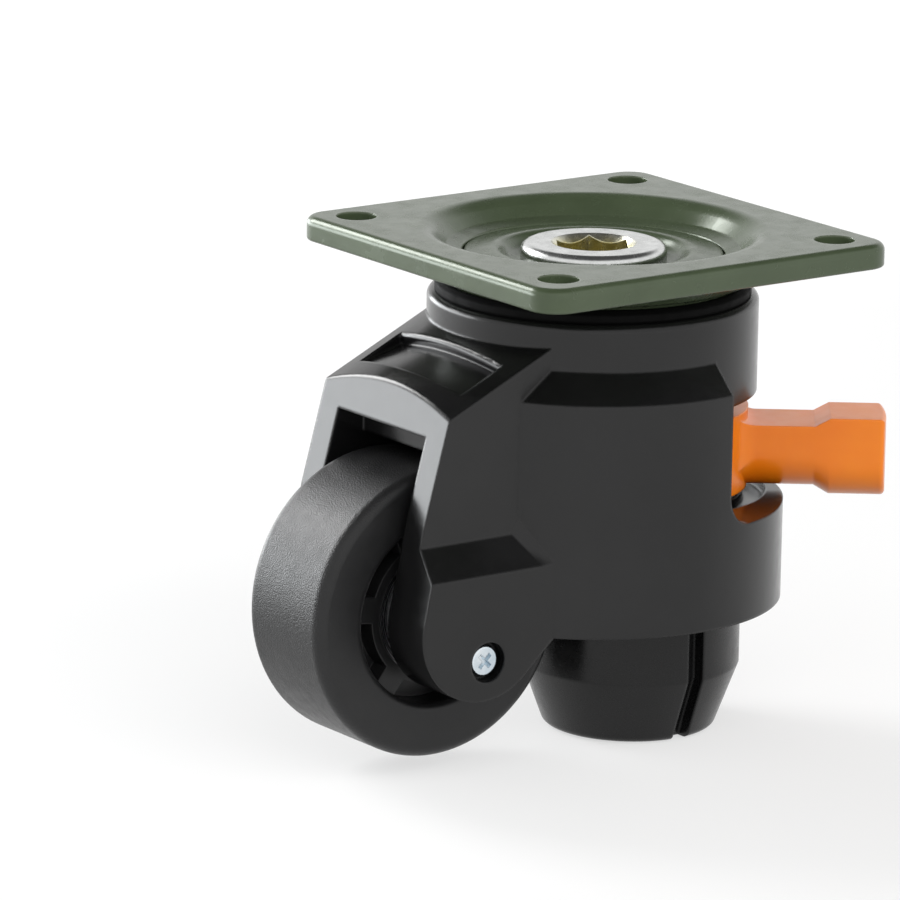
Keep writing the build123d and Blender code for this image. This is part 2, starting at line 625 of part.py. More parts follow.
def wheel_well():
    """The space that the wheel turns in, open to the front and below."""
    half = FORK_INNER_WIDTH / 2
    low_z = FOOT_BOTTOM_Z
    front_x = FORK_NOSE_X - FORK_WIDTH
    round_part = Pos(WHEEL_X, 0, WHEEL_Z) * Rot(90, 0, 0) * Cylinder(WELL_RADIUS, 2 * half)
    front_part = box_between((front_x, -half, low_z), (WHEEL_X, half, WINDOW_TOP_Z))
    low_part = box_between((front_x, -half, low_z), (WELL_BACK_X, half, WHEEL_Z))
    return round_part + front_part + low_part


def lever_window():
    """The opening round the back of the barrel that the lever swings in."""
    far_x = 2 * BARREL_RADIUS
    outline = Plane.XZ * make_face(
        Polyline(
            (WINDOW_EDGE_X, CHAMBER_TOP_Z),
            (far_x, CHAMBER_TOP_Z),
            (far_x, LEDGE_Z),
            (WINDOW_EDGE_X, LEDGE_Z),
            close=True,
        )
    )
    opening = side_slab(outline, -2 * BARREL_RADIUS, 2 * BARREL_RADIUS)
    corner = opening.edges().filter_by(Axis.Y).sort_by(Axis.X)[:2].sort_by(Axis.Z)[0]
    opening = fillet(corner, WINDOW_CORNER_RADIUS)
    outside_collar = ring(COLLAR_RADIUS, far_x, CHAMBER_TOP_Z, SHOULDER_TOP_Z)
    behind_edge = box_between(
        (WINDOW_EDGE_X, -far_x, CHAMBER_TOP_Z), (far_x, far_x, SHOULDER_TOP_Z)
    )
    chamber = on_foot_axis(ring(0, CHAMBER_RADIUS, LEDGE_Z, CHAMBER_TOP_Z))
    return opening + chamber + (outside_collar & behind_edge)


def ledge_groove():
    """The channel in the ledge round the lever's ring, open to the window above."""
    outer_radius = BARREL_RADIUS - FOOT_AXIS_X - LEDGE_GROOVE_WALL
    inner_radius = LEVER_WASHER_RADIUS + CHAMBER_CLEARANCE
    return on_foot_axis(ring(inner_radius, outer_radius, LEDGE_Z - LEDGE_GROOVE_DEPTH, LEDGE_Z))


def foot_chamber():
    """The bore that the foot slides in, less the two keys that stop it turning."""
    bore = ring(0, FOOT_BORE_RADIUS, BARREL_BOTTOM, FOOT_CHAMBER_TOP_Z)
    key_width = KEYWAY_WIDTH - 2 * KEY_SIDE_CLEARANCE
    key_tip = FOOT_RADIUS - KEYWAY_DEPTH + KEY_TIP_CLEARANCE
    for side in (-1, 1):
        near, far = sorted((side * key_tip, side * 2 * FOOT_RADIUS))
        bore -= box_between(
            (-key_width / 2, near, BARREL_BOTTOM), (key_width / 2, far, FOOT_CHAMBER_TOP_Z)
        )
    return on_foot_axis(bore)


def barrel_cores():
    """The cored slots beside the foot bore, open at the barrel's underside."""
    outer_radius = BARREL_RADIUS - CORE_WALL
    roof_z = BARREL_BOTTOM + CORE_DEPTH
    section = Plane.XZ * make_face(
        Polyline(
            (outer_radius - CORE_WIDTH, BARREL_BOTTOM),
            (outer_radius, BARREL_BOTTOM),
            (outer_radius, roof_z),
            (outer_radius - CORE_WIDTH, roof_z),
            close=True,
        )
    )
    span = (CORE_END_ANGLE - CORE_START_ANGLE - CORE_RIB_ANGLE) / 2
    slot = revolve(section, Axis.Z, span)
    starts = (CORE_START_ANGLE, CORE_END_ANGLE - span)
    turns = [turn for start in starts for turn in (start, -start - span)]
    return Compound([Rot(0, 0, turn) * slot for turn in turns])


def axle_seats():
    """The slots, open downwards, that the two ends of the axle sit in."""
    half_length = FORK_INNER_WIDTH / 2 + AXLE_SEAT_DEPTH
    radius = AXLE_RADIUS + AXLE_SEAT_CLEARANCE
    seat = on_axle(Cylinder(radius, 2 * half_length))
    return seat + box_between(
        (WHEEL_X - radius, -half_length, WHEEL_Z - 2 * LOBE_RADIUS),
        (WHEEL_X + radius, half_length, WHEEL_Z),
    )


def keeper_holes():
    """Threaded holes and counterbores for the two keeper screws."""
    half = BOSS_WIDTH / 2
    lay = Pos(KEEPER_X, 0, KEEPER_Z) * Rot(90, 0, 0)
    holes = lay * Cylinder(KEEPER_SCREW_RADIUS, 2 * half)
    bore = Cylinder(KEEPER_COUNTERBORE_RADIUS, KEEPER_COUNTERBORE_DEPTH)
    bore_y = half - KEEPER_COUNTERBORE_DEPTH / 2
    return holes + lay * Pos(0, 0, bore_y) * bore + lay * Pos(0, 0, -bore_y) * bore


def housing():
    """The one-piece housing."""
    body = turned(
        [
            (0, COLLAR_TOP),
            (COLLAR_RADIUS, COLLAR_TOP),
            (COLLAR_RADIUS, SHOULDER_TOP_Z),
            (BARREL_RADIUS, SHOULDER_LOW_Z),
            (BARREL_RADIUS, BARREL_BOTTOM),
            (0, BARREL_BOTTOM),
        ]
    )
    body = fillet(body.edges().group_by(Axis.Z)[-1], COLLAR_TOP_ROUND)
    body += fork_block()
    body += axle_bosses()
    for side in (-1, 1):
        body += boss_gusset(side)
    body -= wheel_well()
    body -= ring(0, RECESS_RADIUS, RECESS_FLOOR_Z, COLLAR_TOP)
    body -= turned(insert_outline(0))
    body -= lever_window()
    body -= ledge_groove()
    body -= foot_chamber()
    body -= barrel_cores()
    stem_hole_radius = STEM_RADIUS + STEM_HOLE_CLEARANCE
    body -= on_foot_axis(ring(0, stem_hole_radius, BARREL_BOTTOM, STEM_POCKET_TOP_Z))
    body -= axle_seats()
    body -= keeper_holes()
    return body


# ---------------------------------------------------------------- wheel and axle


def wheel():
    """The one-piece wheel: tread, recessed web, ribs and a bored hub."""
    half = WHEEL_WIDTH / 2
    hub_face = half - HUB_SETBACK
    body = fillet(Cylinder(WHEEL_RADIUS, WHEEL_WIDTH).edges(), WHEEL_EDGE_ROUND)
    for side in (-1, 1):
        low, high = sorted((side * hub_face, side * half))
        body -= ring(0, TREAD_INNER_RADIUS, low, high)
    mouths = body.edges().filter_by(GeomType.CIRCLE).filter_by(
        lambda edge: abs(edge.radius - TREAD_INNER_RADIUS) < 0.01
    )
    body = fillet(mouths.group_by(Axis.Z)[0] + mouths.group_by(Axis.Z)[-1], TREAD_INNER_ROUND)
    for side in (-1, 1):
        low, high = sorted((side * (half - WHEEL_RECESS_DEPTH), side * hub_face))
        body -= ring(HUB_RADIUS, TREAD_INNER_RADIUS, low, high)
    rib_middle = (HUB_RADIUS + TREAD_INNER_RADIUS) / 2
    rib_length = TREAD_INNER_RADIUS - HUB_RADIUS + HUB_WALL / 2
    rib = Pos(rib_middle, 0, 0) * Box(rib_length, WHEEL_RIB_WIDTH, 2 * hub_face)
    for index in range(WHEEL_RIB_COUNT):
        body += Rot(0, 0, WHEEL_RIB_PHASE + index * 360 / WHEEL_RIB_COUNT) * rib
    for side in (-1, 1):
        low, high = sorted((side * (BEARING_OUTER_FACE - BEARING_WIDTH), side * half))
        body -= ring(0, BEARING_RADIUS, low, high)
    return on_axle(body - ring(0, BEARING_RADIUS - HUB_STOP_HEIGHT, -half, half))


def bearing_groove(side):
    """The ball track of one wheel bearing, before it is laid on the axle."""
    middle = side * (BEARING_OUTER_FACE - BEARING_WIDTH / 2)
    radius = BEARING_BALL_DIAMETER / 2 + BALL_CLEARANCE
    return torus_groove(BEARING_PITCH_RADIUS, radius, middle)


def bearing_span(side):
    """The two faces of one wheel bearing, along the axle."""
    return sorted((side * BEARING_OUTER_FACE, side * (BEARING_OUTER_FACE - BEARING_WIDTH)))


def bearing_outer_ring(side):
    """The bearing's outer ring, pressed into the wheel."""
    low, high = bearing_span(side)
    body = ring(BEARING_RADIUS - BEARING_RING_WALL, BEARING_RADIUS, low, high)
    return on_axle(body - bearing_groove(side))


def bearing_inner_ring(side):
    """The bearing's inner ring, on the axle."""
    low, high = bearing_span(side)
    body = ring(AXLE_RADIUS, AXLE_RADIUS + BEARING_RING_WALL, low, high)
    return on_axle(body - bearing_groove(side))


def bearing_balls(side):
    """The balls of one wheel bearing."""
    middle = side * (BEARING_OUTER_FACE - BEARING_WIDTH / 2)
    balls = ball_circle(BEARING_PITCH_RADIUS, BEARING_BALL_DIAMETER, BEARING_BALL_COUNT, middle)
    return on_axle(balls)


def bearing_shield(side):
    """The thin metal shield in the bearing's open side."""
    outer = side * (BEARING_OUTER_FACE - SHIELD_THICKNESS)
    low, high = sorted((outer, outer - side * SHIELD_THICKNESS))
    inner_radius = AXLE_RADIUS + BEARING_RING_WALL + SHIELD_GAP
    return on_axle(ring(inner_radius, BEARING_RADIUS - BEARING_RING_WALL, low, high))


def axle():
    """The plain wheel axle, with chamfered ends."""
    pin = Cylinder(AXLE_RADIUS, 2 * AXLE_HALF_LENGTH)
    return on_axle(chamfer(pin.edges(), AXLE_CHAMFER))


def bearing_spacer():
    """The tube between the two inner rings."""
    half = BEARING_OUTER_FACE - BEARING_WIDTH
    return on_axle(ring(AXLE_RADIUS, AXLE_RADIUS + BEARING_RING_WALL, -half, half))


def axle_spacer(side):
    """The collar between an inner ring and its fork cheek."""
    cheek = FORK_INNER_WIDTH / 2 - SPACER_END_GAP
    low, high = sorted((side * BEARING_OUTER_FACE, side * cheek))
    return on_axle(ring(AXLE_RADIUS, AXLE_RADIUS + SPACER_WALL, low, high))


def keeper_screw(side):
    """A cross-recessed screw whose shank closes the axle seat."""
    seat = BOSS_WIDTH / 2 - KEEPER_COUNTERBORE_DEPTH
    tip = FORK_INNER_WIDTH / 2 + AXLE_SEAT_DEPTH - KEEPER_SCREW_REACH
    top = seat + KEEPER_HEAD_HEIGHT
    head = ring(0, KEEPER_HEAD_RADIUS, seat, top)
    head = fillet(head.edges().group_by(Axis.Z)[-1], KEEPER_EDGE_ROUND)
    screw = head + ring(0, KEEPER_SCREW_RADIUS, tip, seat)
    screw = chamfer(screw.edges().group_by(Axis.Z)[0], KEEPER_EDGE_ROUND)
    for turn in (45, 135):
        slot = Box(KEEPER_RECESS_LENGTH, KEEPER_RECESS_WIDTH, 2 * KEEPER_RECESS_DEPTH)
        screw -= Pos(0, 0, top) * Rot(0, 0, turn) * slot
    lay = Rot(-90, 0, 0) if side > 0 else Rot(90, 0, 0)
    return Pos(KEEPER_X, 0, KEEPER_Z) * lay * screw


# ---------------------------------------------------------------- ratchet and foot


def lay_on_lever(shape):
    """Turn a shape made about the foot axis, along +X, to the lever's rest angle."""
    return on_foot_axis(Rot(0, 0, LEVER_REST_ANGLE) * shape)


def lever_section(x, half, top_z, shoulder_z, bottom_z):
    """One cross-section of the handle: flat on top and round below."""
    across = Plane(origin=(x, 0, 0), x_dir=(0, 1, 0), z_dir=(1, 0, 0))
    return across * make_face(
        [
            Line((-half, shoulder_z), (-half, top_z)),
            Line((-half, top_z), (half, top_z)),
            Line((half, top_z), (half, shoulder_z)),
            ThreePointArc((half, shoulder_z), (0, bottom_z), (-half, shoulder_z)),
        ]
    )


def neck_section(x):
    """The neck's cross-section at one distance from the foot axis."""
    half = LEVER_WIDTH / 2
    return lever_section(
        x, half, LEVER_NECK_TOP_Z, LEVER_NECK_BOTTOM_Z + half, LEVER_NECK_BOTTOM_Z
    )


def grip_section(x):
    """The grip's cross-section at one distance from the foot axis."""
    half = LEVER_WIDTH / 2
    return lever_section(
        x, half, LEVER_GRIP_TOP_Z, LEVER_GRIP_BOTTOM_Z + half, LEVER_GRIP_BOTTOM_Z
    )


def lever_root():
    """The hollow-sided flare where the neck grows out of the lever's ring."""
    half = LEVER_WIDTH / 2
    reach = LEVER_HUB_RADIUS + LEVER_ROOT_ROUND
    centre_y = half + LEVER_ROOT_ROUND
    centre_x = math.sqrt(reach**2 - centre_y**2)
    first_angle = math.atan2(-centre_y, -centre_x)
    last_angle = -math.pi / 2
    sections = []
    for share in (0, 0.2, 0.45, 0.7, 1):
        angle = first_angle + share * (last_angle - first_angle)
        sink = LEVER_ROOT_ROUND * (1 - share) ** 6 / 6
        sections.append(
            lever_section(
                centre_x + LEVER_ROOT_ROUND * math.cos(angle) - sink,
                centre_y + LEVER_ROOT_ROUND * math.sin(angle) + sink,
                LEVER_NECK_TOP_Z + LEVER_ROOT_RISE * (1 - share) ** 2,
                LEVER_NECK_BOTTOM_Z + half * (1 + share) / 2,
                LEVER_NECK_BOTTOM_Z,
            )
        )
    return loft(sections)


def ratchet_lever():
    """The moulded lever: a ring round the gear, a neck and a deeper grip."""
    half = LEVER_WIDTH / 2
    neck_end = LEVER_GRIP_START - LEVER_FLARE_LENGTH
    neck = extrude(neck_section(0), neck_end)
    flare = loft([neck_section(neck_end), grip_section(LEVER_GRIP_START)])
    grip = extrude(grip_section(LEVER_GRIP_START), LEVER_LENGTH - LEVER_GRIP_START)
    end_radius = (half**2 + LEVER_END_BULGE**2) / (2 * LEVER_END_BULGE)
    grip_depth = LEVER_GRIP_TOP_Z - LEVER_GRIP_BOTTOM_Z
    end_cut = Pos(LEVER_LENGTH - end_radius, 0, PAWL_AXIS_Z) * Cylinder(end_radius, 2 * grip_depth)
    grip = fillet((grip & end_cut).faces().sort_by(Axis.X)[-1].edges(), LEVER_END_ROUND)
    lever = ring(0, LEVER_HUB_RADIUS, LEVER_HUB_BOTTOM_Z, LEVER_HUB_TOP_Z)
    lever += neck + lever_root() + flare + grip
    lever -= ring(0, LEVER_BORE_RADIUS, LEVER_HUB_BOTTOM_Z, LEVER_HUB_TOP_Z)
    bore_radius = PAWL_RADIUS + PAWL_BORE_CLEARANCE
    bore = Pos(PAWL_BORE_END / 2, 0, PAWL_AXIS_Z) * Rot(0, 90, 0) * Cylinder(bore_radius, PAWL_BORE_END)
    return lay_on_lever(lever - bore)


def pawl():
    """The spring-loaded plunger that catches the gear, here lifted clear of it."""
    body = Rot(0, 90, 0) * Cylinder(PAWL_RADIUS, PAWL_LENGTH)
    body = Pos(PAWL_TIP + PAWL_LENGTH / 2, 0, PAWL_AXIS_Z) * body
    half_gap = math.pi * GEAR_TIP_RADIUS / GEAR_TEETH * (1 - GEAR_TIP_SHARE)
    depth = GEAR_TIP_RADIUS - GEAR_ROOT_RADIUS
    wedge = make_face(
        Polyline(
            (PAWL_TIP, PAWL_POINT_WIDTH / 2),
            (PAWL_TIP + depth, half_gap),
            (PAWL_TIP + PAWL_LENGTH, 2 * PAWL_RADIUS),
            (PAWL_TIP + PAWL_LENGTH, -2 * PAWL_RADIUS),
            (PAWL_TIP + depth, -half_gap),
            (PAWL_TIP, -PAWL_POINT_WIDTH / 2),
            close=True,
        )
    )
    shaped = body & (Pos(0, 0, PAWL_AXIS_Z - PAWL_RADIUS) * extrude(wedge, 2 * PAWL_RADIUS))
    return lay_on_lever(shaped)


def pawl_spring():
    """The coil spring behind the pawl."""
    pitch = (SPRING_LENGTH - 4 * SPRING_WIRE_RADIUS) / SPRING_TURNS
    path = Helix(pitch, pitch * SPRING_TURNS, SPRING_RADIUS)
    start = path @ 0
    wire = Plane(origin=start, z_dir=path % 0) * Circle(SPRING_WIRE_RADIUS)
    coil = sweep(wire, path=path)
    low = 2 * SPRING_WIRE_RADIUS
    lay = Pos(PAWL_TIP + PAWL_LENGTH + low, 0, PAWL_AXIS_Z) * Rot(0, 90, 0)
    return lay_on_lever(lay * coil)


def ratchet_gear():
    """The toothed nut on the foot's screw."""
    step = 2 * math.pi / GEAR_TEETH
    outline = []
    for index in range(GEAR_TEETH):
        middle = math.radians(LEVER_REST_ANGLE) + (index + 0.5) * step
        root_share = (1 - GEAR_GAP_SHARE) / 2
        for share, radius in (
            (-root_share, GEAR_ROOT_RADIUS),
            (-GEAR_TIP_SHARE / 2, GEAR_TIP_RADIUS),
            (GEAR_TIP_SHARE / 2, GEAR_TIP_RADIUS),
            (root_share, GEAR_ROOT_RADIUS),
        ):
            angle = middle + share * step
            outline.append((radius * math.cos(angle), radius * math.sin(angle)))
    blank = extrude(make_face(Polyline(*outline, close=True)), LEVER_HUB_TOP_Z - GEAR_BOTTOM_Z)
    gear = Pos(0, 0, GEAR_BOTTOM_Z) * blank
    bore_radius = STEM_RADIUS + STEM_RUNNING_CLEARANCE
    return on_foot_axis(gear - ring(0, bore_radius, GEAR_BOTTOM_Z, LEVER_HUB_TOP_Z))


def thrust_race(low_z, groove_z):
    """One race of the thrust bearing over the gear."""
    race = ring(THRUST_BORE_RADIUS, THRUST_RACE_RADIUS, low_z, low_z + THRUST_RACE_THICKNESS)
    ball_radius = THRUST_BALL_DIAMETER / 2 + BALL_CLEARANCE
    return on_foot_axis(race - torus_groove(THRUST_PITCH_RADIUS, ball_radius, groove_z))


def thrust_balls():
    """The balls that carry the foot's load up into the housing."""
    middle_z = (THRUST_LOWER_TOP_Z + THRUST_UPPER_BOTTOM_Z) / 2
    balls = ball_circle(THRUST_PITCH_RADIUS, THRUST_BALL_DIAMETER, THRUST_BALL_COUNT, middle_z)
    return on_foot_axis(balls)


def lever_washer():
    """The slip washer under the lever's ring and the gear."""
    inner_radius = STEM_RADIUS + STEM_HOLE_CLEARANCE
    return on_foot_axis(ring(inner_radius, LEVER_WASHER_RADIUS, LEDGE_Z, GEAR_BOTTOM_Z))


def foot_stem():
    """The foot's screw, with the flange that anchors it in the shoe."""
    stem = turned(
        [
            (0, STEM_TOP_Z),
            (STEM_RADIUS - STEM_CHAMFER, STEM_TOP_Z),
            (STEM_RADIUS, STEM_TOP_Z - STEM_CHAMFER),
            (STEM_RADIUS, STEM_BOTTOM_Z + STEM_FLANGE_THICKNESS),
            (STEM_FLANGE_RADIUS, STEM_BOTTOM_Z + STEM_FLANGE_THICKNESS),
            (STEM_FLANGE_RADIUS, STEM_BOTTOM_Z),
            (0, STEM_BOTTOM_Z),
        ]
    )
    return on_foot_axis(stem)


def foot_shoe():
    """The moulded foot: a keyed cylinder above a blunt cone."""
    shoe = turned(
        [
            (0, FOOT_TOP_Z),
            (FOOT_RADIUS, FOOT_TOP_Z),
            (FOOT_RADIUS, FOOT_CREASE_Z),
            (FOOT_BOTTOM_RADIUS, FOOT_BOTTOM_Z),
            (0, FOOT_BOTTOM_Z),
        ]
    )
    shoe = fillet(shoe.edges().group_by(Axis.Z)[0], FOOT_BOTTOM_ROUND)
    core_floor_z = FOOT_TOP_Z - FOOT_CORE_DEPTH
    shoe -= ring(FOOT_BOSS_RADIUS, FOOT_CORE_RADIUS, core_floor_z, FOOT_TOP_Z)
    shoe -= ring(0, STEM_RADIUS, STEM_BOTTOM_Z, FOOT_TOP_Z)
    shoe -= ring(0, STEM_FLANGE_RADIUS, STEM_BOTTOM_Z, STEM_BOTTOM_Z + STEM_FLANGE_THICKNESS)
    slot_bottom = FOOT_RADIUS - KEYWAY_DEPTH
    bottom_slot = FOOT_BOTTOM_RADIUS - KEYWAY_DEPTH
    for side in (-1, 1):
        cut = Plane.YZ * make_face(
            Polyline(
                (side * slot_bottom, FOOT_TOP_Z),
                (side * slot_bottom, FOOT_CREASE_Z),
                (side * bottom_slot, FOOT_BOTTOM_Z),
                (side * 2 * FOOT_RADIUS, FOOT_BOTTOM_Z),
                (side * 2 * FOOT_RADIUS, FOOT_TOP_Z),
                close=True,
            )
        )
        shoe -= extrude(cut, KEYWAY_WIDTH / 2, both=True)
    return on_foot_axis(shoe)


# ---------------------------------------------------------------- export

PARTS = {
    "mounting_plate": mounting_plate(),
    "race_washer": race_washer(),
    "upper_balls": ball_circle(
        UPPER_BALL_PITCH_RADIUS, UPPER_BALL_DIAMETER, UPPER_BALL_COUNT, UPPER_BALL_Z
    ),
    "lower_balls": ball_circle(
        LOWER_BALL_PITCH_RADIUS, LOWER_BALL_DIAMETER, LOWER_BALL_COUNT, LOWER_BALL_Z
    ),
    "kingpin_bolt": kingpin_bolt(),
    "kingpin_sleeve": kingpin_sleeve(),
    "kingpin_insert": kingpin_insert(),
    "lower_race": lower_race(),
    "dust_seal": dust_seal(),
    "housing": housing(),
    "wheel": wheel(),
    "axle": axle(),
    "bearing_spacer": bearing_spacer(),
    "lever_washer": lever_washer(),
    "thrust_upper_race": thrust_race(
        THRUST_UPPER_BOTTOM_Z, (THRUST_LOWER_TOP_Z + THRUST_UPPER_BOTTOM_Z) / 2
    ),
    "thrust_lower_race": thrust_race(
        LEVER_HUB_TOP_Z, (THRUST_LOWER_TOP_Z + THRUST_UPPER_BOTTOM_Z) / 2
    ),
    "thrust_balls": thrust_balls(),
    "ratchet_gear": ratchet_gear(),
    "ratchet_lever": ratchet_lever(),
    "pawl": pawl(),
    "pawl_spring": pawl_spring(),
    "foot_stem": foot_stem(),
    "foot_shoe": foot_shoe(),
}
for name, side in (("near", -1), ("far", 1)):
    PARTS[name + "_bearing_outer_ring"] = bearing_outer_ring(side)
    PARTS[name + "_bearing_inner_ring"] = bearing_inner_ring(side)
    PARTS[name + "_bearing_balls"] = bearing_balls(side)
    PARTS[name + "_bearing_shield"] = bearing_shield(side)
    PARTS[name + "_axle_spacer"] = axle_spacer(side)
    PARTS[name + "_keeper_screw"] = keeper_screw(side)

os.makedirs("parts", exist_ok=True)
for node, shape in PARTS.items():
    export_step(shape, "parts/" + node + ".step")
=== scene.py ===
import math

import bpy
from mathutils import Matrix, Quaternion, Vector


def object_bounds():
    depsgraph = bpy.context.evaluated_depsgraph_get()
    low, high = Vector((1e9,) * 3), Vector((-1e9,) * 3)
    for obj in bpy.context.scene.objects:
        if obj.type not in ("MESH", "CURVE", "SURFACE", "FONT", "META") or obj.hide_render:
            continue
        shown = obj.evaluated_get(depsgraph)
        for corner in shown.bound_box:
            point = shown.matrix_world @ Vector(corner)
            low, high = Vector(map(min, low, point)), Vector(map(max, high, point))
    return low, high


# Materials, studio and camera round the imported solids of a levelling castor, in metres.

MM = 0.001
MICRON = 0.000001
UP = Vector((0, 0, 1))

# ---------------------------------------------------------------- frame

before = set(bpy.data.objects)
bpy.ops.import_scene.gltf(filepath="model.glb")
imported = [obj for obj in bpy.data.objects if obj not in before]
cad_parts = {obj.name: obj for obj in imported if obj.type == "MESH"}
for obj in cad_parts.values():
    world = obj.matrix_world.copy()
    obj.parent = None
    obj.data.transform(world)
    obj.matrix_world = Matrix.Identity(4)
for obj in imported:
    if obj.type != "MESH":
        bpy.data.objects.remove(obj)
cad_low, cad_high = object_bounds()

# ---------------------------------------------------------------- node helpers

BEVEL_SAMPLES = 6
# The cosine between the rounded and the flat normal, on a full edge and on a plain face.
EDGE_COSINES = (0.85, 0.995)
SHAPE_MIDDLE = (0.5, 0.5, 0.5)
# Planes across an axis, for radius and rings.
ACROSS_Z = (1, 1, 0)
ACROSS_Y = (1, 0, 1)


def grey(level):
    """A neutral colour."""
    return (level, level, level)


class Graph:
    """A node tree, with short calls for the fields used here."""

    def __init__(self, tree):
        self.tree = tree
        self.coordinates = self.add("TexCoord").outputs

    def add(self, kind, **settings):
        """Add a shader node and set its properties."""
        node = self.tree.nodes.new("ShaderNode" + kind)
        for key, value in settings.items():
            setattr(node, key, value)
        return node

    def feed(self, socket, value):
        """Link a field to a socket, or set the socket's own value."""
        if isinstance(value, bpy.types.NodeSocket):
            self.tree.links.new(value, socket)
        elif socket.type == "RGBA":
            socket.default_value = (*value, 1)
        else:
            socket.default_value = value

    def fill(self, node, **values):
        """Feed a node's inputs by name, with _ for a space."""
        for key, value in values.items():
            self.feed(node.inputs[key.replace("_", " ")], value)
        return node

    def compute(self, kind, operation, *values):
        """The result of a Math or VectorMath node on fields or fixed values."""
        node = self.add(kind, operation=operation)
        for socket, value in zip(node.inputs, values):
            self.feed(socket, value)
        return next(output for output in node.outputs if output.enabled)

    def noise(self, scale, detail, roughness=0.6):
        """A noise field in object space; scale is in features per metre."""
        texture = self.add("TexNoise")
        self.fill(texture, Vector=self.coordinates["Object"], Scale=scale)
        self.fill(texture, Detail=detail, Roughness=roughness)
        return texture.outputs["Fac"]

    def cells(self, scale):
        """Small rounded cells, for a moulded grain."""
        texture = self.add("TexVoronoi", feature="SMOOTH_F1")
        self.fill(texture, Vector=self.coordinates["Object"], Scale=scale)
        return texture.outputs["Distance"]

    def radius(self, plane):
        """Distance from the middle of the shape in a plane, in shares of its width."""
        place = self.compute("VectorMath", "SUBTRACT", self.coordinates["Generated"], SHAPE_MIDDLE)
        flat = self.compute("VectorMath", "MULTIPLY", place, plane)
        return self.compute("VectorMath", "LENGTH", flat)

    def rings(self, plane, scale, detail):
        """Noise that changes with the radius only; scale is in features per width."""
        texture = self.add("TexNoise", noise_dimensions="1D")
        self.fill(texture, W=self.radius(plane), Scale=scale, Detail=detail)
        return texture.outputs["Fac"]

    def spread(self, field, low, high, start=0.3, end=0.7, curve="LINEAR"):
        """Map a field from start and end, where most noise lies, onto low and high."""
        ramp = self.add("MapRange", interpolation_type=curve)
        self.fill(ramp, Value=field, From_Min=start, From_Max=end, To_Min=low, To_Max=high)
        return ramp.outputs["Result"]

    def drift(self, scale, detail, low, high):
        """A number that wanders between two values over the shape."""
        return self.spread(self.noise(scale, detail), low, high)

    def blend(self, share, first, second):
        """Mix two colours, each fixed or a field."""
        mix = self.add("Mix", data_type="RGBA")
        return self.fill(mix, Factor=share, A=first, B=second).outputs["Result"]

    def clouds(self, scale, detail, first, second, contrast=(0.3, 0.7)):
        """Two colours that wander into each other over the shape."""
        share = self.spread(self.noise(scale, detail), 0, 1, *contrast)
        return self.blend(share, first, second)

    def rounded(self, radius):
        """The shape's normal with its edges rounded."""
        bevel = self.add("Bevel", samples=BEVEL_SAMPLES)
        return self.fill(bevel, Radius=radius).outputs["Normal"]

    def edges(self, radius, most):
        """Up to most on the edges of the shape, and 0 on its faces."""
        flat = self.add("NewGeometry").outputs["Normal"]
        cosine = self.compute("VectorMath", "DOT_PRODUCT", self.rounded(radius), flat)
        return self.spread(cosine, most, 0, *EDGE_COSINES)

    def bumps(self, edge_radius, *layers):
        """A normal with rounded edges and height fields, each as (field, depth)."""
        normal = self.rounded(edge_radius)
        for field, depth in layers:
            bump = self.fill(self.add("Bump"), Height=field, Distance=depth, Normal=normal)
            normal = bump.outputs["Normal"]
        return normal

    def rays(self, first, *others):
        """1 for rays of the kinds named, and 0 for all others."""
        path = self.add("LightPath").outputs
        share = path[first]
        for kind in others:
            share = self.compute("Math", "MAXIMUM", share, path[kind])
        return share


class Finish(Graph):
    """One material, built round a Principled BSDF."""

    def __init__(self, name):
        self.material = bpy.data.materials.new(name)
        self.material.use_nodes = True
        super().__init__(self.material.node_tree)

    def shade(self, **values):
        """Feed the shader's inputs by name, such as Metallic=1."""
        self.fill(self.tree.nodes["Principled BSDF"], **values)


# ---------------------------------------------------------------- materials


def olive_paint():
    """Satin olive coating on pressed steel, paler on its edges as wear and as a painted edge
    highlight.
    """
    paint = Finish("olive_paint")
    base = paint.clouds(90, 5, (0.047, 0.065, 0.034), (0.060, 0.081, 0.044))
    orange_peel = (paint.noise(1300, 3), 3 * MICRON)
    waves = (paint.noise(60, 2), 40 * MICRON)
    paint.shade(
        # The paler edge colour is a painted highlight along the edges, and worn paint too.
        Base_Color=paint.blend(paint.edges(0.9 * MM, 0.4), base, (0.20, 0.22, 0.17)),
        Roughness=paint.drift(260, 4, 0.20, 0.30),
        IOR=1.53,
        Specular_Tint=(0.90, 1.0, 0.86),
        Coat_Weight=0.06,
        Coat_Roughness=0.25,
        Normal=paint.bumps(0.4 * MM, orange_peel, waves),
    )
    return paint.material


def moulded_black(name, tint, rough, grain_depth, specular_level=0.5):
    """Black moulded plastic with a fine grain; rough is its least and most roughness."""
    plastic = Finish(name)
    paler = tuple(1.5 * channel + 0.001 for channel in tint)
    grain = (plastic.cells(2600), grain_depth)
    waves = (plastic.noise(40, 2), 12 * MICRON)
    plastic.shade(
        Base_Color=plastic.clouds(60, 4, tint, paler),
        Roughness=plastic.drift(420, 4, *rough),
        IOR=1.46,
        Specular_IOR_Level=specular_level,
        Normal=plastic.bumps(0.7 * MM, grain, waves),
    )
    return plastic.material


def tread_rubber():
    """Black polyurethane, grained on the running face and smoother on the sides."""
    rubber = Finish("tread_rubber")
    share = rubber.spread(rubber.radius(ACROSS_Y), 0.2, 1.0, 0.455, 0.485)
    grain = (rubber.compute("Math", "MULTIPLY", rubber.noise(4000, 1, 0.5), share), 90 * MICRON)
    waves = (rubber.noise(40, 2), 30 * MICRON)
    rubber.shade(
        Base_Color=rubber.clouds(90, 4, (0.0085, 0.0085, 0.0090), (0.0130, 0.0130, 0.0135)),
        Roughness=rubber.drift(500, 4, 0.30, 0.42),
        IOR=1.46,
        Specular_IOR_Level=0.45,
        Normal=rubber.bumps(0.4 * MM, grain, waves),
    )
    return rubber.material


